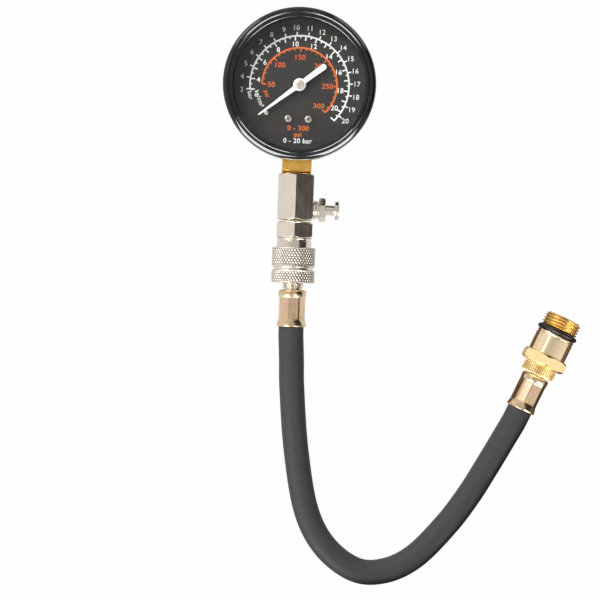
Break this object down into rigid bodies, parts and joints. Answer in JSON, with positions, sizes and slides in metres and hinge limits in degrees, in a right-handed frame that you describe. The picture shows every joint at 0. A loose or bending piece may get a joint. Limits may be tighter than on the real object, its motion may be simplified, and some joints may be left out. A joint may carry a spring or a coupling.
{
  "type": "compression tester gauge",
  "caption": "Dial pressure gauge with a push-button release valve and quick coupler, on a rubber hose that ends in a threaded spark plug adapter.",
  "frame": {"origin": "centre of the flat back of the gauge case, on the surface that the object lies on", "axes": "+Z out of the dial, +Y toward 12 o'clock on the dial, the fittings run from the gauge along -Y and the hose bends toward +X"},
  "size_m": [0.1739, 0.2727, 0.0293],
  "materials": {
    "black_case": "satin black enamel",
    "black_enamel": "gloss black enamel",
    "window_glass": "clear",
    "black_rubber": "matte",
    "dial_black": "matte, printed scales",
    "pointer_white": "satin white",
    "steel": "bright",
    "nickel": "bright nickel plate",
    "brass": "turned",
    "phosphor_bronze": "drawn",
    "neck_brass": "satin",
    "ferrule_gold": "bright, crimped",
    "hose_rubber": "matte"
  },
  "bodies": {
    "gauge_body": {"case": "black_case", "bezel": "black_enamel", "window": "window_glass", "window_gasket": "black_rubber", "coupler_seal": "black_rubber", "dial": "dial_black", "dial_screw_left": "steel", "dial_screw_right": "steel", "zero_pin": "steel", "movement_screw_1": "steel", "movement_screw_2": "steel", "case_screw_left": "steel", "case_screw_right": "steel", "valve_spring": "steel", "coupler_ball_1": "steel", "coupler_ball_2": "steel", "coupler_ball_3": "steel", "coupler_ball_4": "steel", "coupler_spring": "steel", "coupler_snap_ring": "steel", "manifold": "nickel", "valve_body": "nickel", "coupler_body": "nickel", "movement_back_plate": "brass", "movement_front_plate": "brass", "movement_pillar_1": "brass", "movement_pillar_2": "brass", "movement_pillar_3": "brass", "tube_tip": "brass", "hairspring": "phosphor_bronze", "bourdon_tube": "phosphor_bronze", "stem_socket": "neck_brass"},
    "sector": {"sector_gear": "brass", "link_screw": "steel"},
    "link_bar": {"link": "brass"},
    "pointer_arbor": {"pinion": "brass", "pointer": "pointer_white", "pointer_hub": "nickel"},
    "release_button": {"valve_plunger": "nickel", "valve_seal": "black_rubber"},
    "sleeve": {"coupler_sleeve": "nickel"},
    "hose_line": {"plug": "nickel", "plug_ferrule": "ferrule_gold", "hose": "hose_rubber", "end_ferrule": "ferrule_gold", "hose_end_stem": "brass", "adapter": "brass", "adapter_o_ring": "black_rubber", "stem_seal": "black_rubber", "check_valve_core": "brass", "check_valve_spring": "steel"},
    "check_pin": {"check_valve_pin": "steel"}
  },
  "joints": [
    {"name": "sector_swing", "type": "hinge", "parent": "gauge_body", "child": "sector", "pos_m": [0.01152, -0.0051, 0.0131], "axis": [0, 0, 1], "range_deg": [0, 44.2], "stiffness_Nm_per_rad": 0.002, "springref_deg": -5.73, "deforming": ["bourdon_tube", "tube_tip"]},
    {"name": "pointer_turn", "type": "hinge", "parent": "gauge_body", "child": "pointer_arbor", "pos_m": [0, 0, 0.0131], "axis": [0, 0, 1], "range_deg": [-265.5, 0], "deforming": ["hairspring"]},
    {"name": "link_pivot", "type": "hinge", "parent": "sector", "child": "link_bar", "pos_m": [0.0109, -0.01007, 0.0143], "axis": [0, 0, 1], "range_deg": [-44.5, 0]},
    {"name": "release_press", "type": "slide", "parent": "gauge_body", "child": "release_button", "axis": [-1, 0, 0], "range_m": [0, 0.002], "stiffness_N_per_m": 400, "springref_m": -0.002, "deforming": ["valve_spring"]},
    {"name": "sleeve_slide", "type": "slide", "parent": "gauge_body", "child": "sleeve", "axis": [0, 1, 0], "range_m": [0, 0.0032], "stiffness_N_per_m": 600, "springref_m": -0.003, "deforming": ["coupler_spring"]},
    {"name": "hose_swivel", "type": "hinge", "parent": "gauge_body", "child": "hose_line", "pos_m": [0, -0.0885, 0.011], "axis": [0, -1, 0], "continuous": true},
    {"name": "check_valve_slide", "type": "slide", "parent": "hose_line", "child": "check_pin", "axis": [-0.4079, -0.913, 0], "range_m": [0, 0.0012], "stiffness_N_per_m": 200, "springref_m": -0.001, "deforming": ["check_valve_spring"]}
  ],
  "couplings": [
    {"joint": "pointer_turn", "follows": "sector_swing", "ratio": -6},
    {"joint": "link_pivot", "follows": "sector_swing", "ratio": -1}
  ]
}
